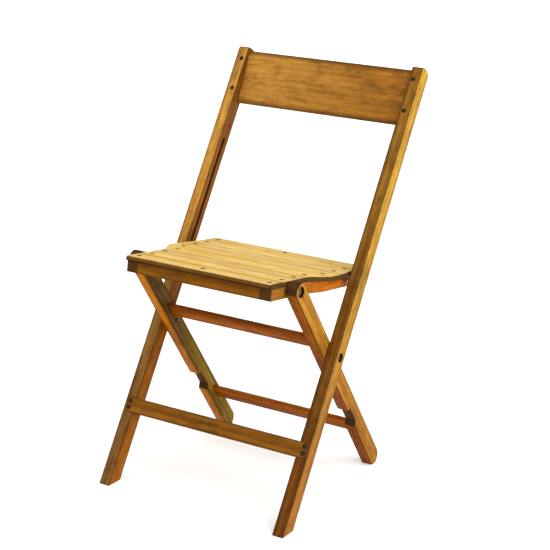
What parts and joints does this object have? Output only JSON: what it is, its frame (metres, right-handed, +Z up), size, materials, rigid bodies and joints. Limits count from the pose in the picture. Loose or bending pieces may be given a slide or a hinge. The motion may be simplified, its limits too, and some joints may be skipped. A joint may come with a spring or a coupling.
{
  "type": "wooden folding chair",
  "caption": "Wooden folding chair: crossed side frames, a slatted seat that narrows at the front, a plain back board and flat stretchers.",
  "frame": {"origin": "centre of the bounding box at floor level, with the chair open", "axes": "+X to the chair's left-to-right side as seen from the front, +Y rearwards, +Z up; the chair faces -Y"},
  "size_m": [0.41, 0.4889, 0.776],
  "materials": {
    "stile_wood": "varnished, worn",
    "back_board_wood": "varnished, mottled",
    "stretcher_wood": "varnished, worn",
    "leg_wood": "varnished, worn",
    "leg_rail_wood": "varnished",
    "seat_rail_wood": "varnished",
    "seat_slat_wood": "varnished, worn",
    "rivet_steel": "darkened",
    "bolt_steel": "dull",
    "washer_steel": "dull",
    "pin_steel": "polished by use",
    "screw_iron": "dark",
    "nail_iron": "dark, rusty"
  },
  "bodies": {
    "stile_frame": {"left_stile": "stile_wood", "right_stile": "stile_wood", "back_board": "back_board_wood", "front_stretcher": "stretcher_wood", "back_screw_left_upper": "screw_iron", "back_screw_left_lower": "screw_iron", "back_screw_right_upper": "screw_iron", "back_screw_right_lower": "screw_iron", "stretcher_screw_left_upper": "screw_iron", "stretcher_screw_left_lower": "screw_iron", "stretcher_screw_right_upper": "screw_iron", "stretcher_screw_right_lower": "screw_iron", "cross_pivot_rivet_left": "rivet_steel", "cross_pivot_washer_left": "washer_steel", "cross_pivot_rivet_right": "rivet_steel", "cross_pivot_washer_right": "washer_steel"},
    "leg_frame": {"left_leg": "leg_wood", "right_leg": "leg_wood", "upper_leg_rail": "leg_rail_wood", "lower_leg_rail": "leg_rail_wood"},
    "seat": {"seat_rail_left": "seat_rail_wood", "seat_rail_right": "seat_rail_wood", "seat_rail_front": "seat_rail_wood", "seat_rail_rear": "seat_rail_wood", "seat_slat_1": "seat_slat_wood", "seat_slat_2": "seat_slat_wood", "seat_slat_3": "seat_slat_wood", "seat_slat_4": "seat_slat_wood", "seat_slat_5": "seat_slat_wood", "seat_slat_6": "seat_slat_wood", "seat_slat_7": "seat_slat_wood", "seat_slat_8": "seat_slat_wood", "slat_nail_1_left": "nail_iron", "slat_nail_1_right": "nail_iron", "slat_nail_1_front": "nail_iron", "slat_nail_2_left": "nail_iron", "slat_nail_2_right": "nail_iron", "slat_nail_3_left": "nail_iron", "slat_nail_3_right": "nail_iron", "slat_nail_4_left": "nail_iron", "slat_nail_4_right": "nail_iron", "slat_nail_5_left": "nail_iron", "slat_nail_5_right": "nail_iron", "slat_nail_6_left": "nail_iron", "slat_nail_6_right": "nail_iron", "slat_nail_7_left": "nail_iron", "slat_nail_7_right": "nail_iron", "slat_nail_8_left": "nail_iron", "slat_nail_8_right": "nail_iron", "slat_nail_8_rear": "nail_iron", "seat_pivot_bolt_left": "bolt_steel", "seat_pivot_spacer_left": "washer_steel", "slide_pin_left": "pin_steel", "seat_pivot_bolt_right": "bolt_steel", "seat_pivot_spacer_right": "washer_steel", "slide_pin_right": "pin_steel"}
  },
  "joints": [
    {"name": "frame_fold", "type": "hinge", "parent": "stile_frame", "child": "leg_frame", "pos_m": [0, -0.05625, 0.284], "axis": [-1, 0, 0], "range_deg": [0, 66.5]},
    {"name": "seat_fold", "type": "hinge", "parent": "leg_frame", "child": "seat", "pos_m": [0, -0.16165, 0.43176], "axis": [1, 0, 0], "range_deg": [0, 133]}
  ],
  "couplings": [
    {"joint": "seat_fold", "follows": "frame_fold", "ratio": 2}
  ]
}
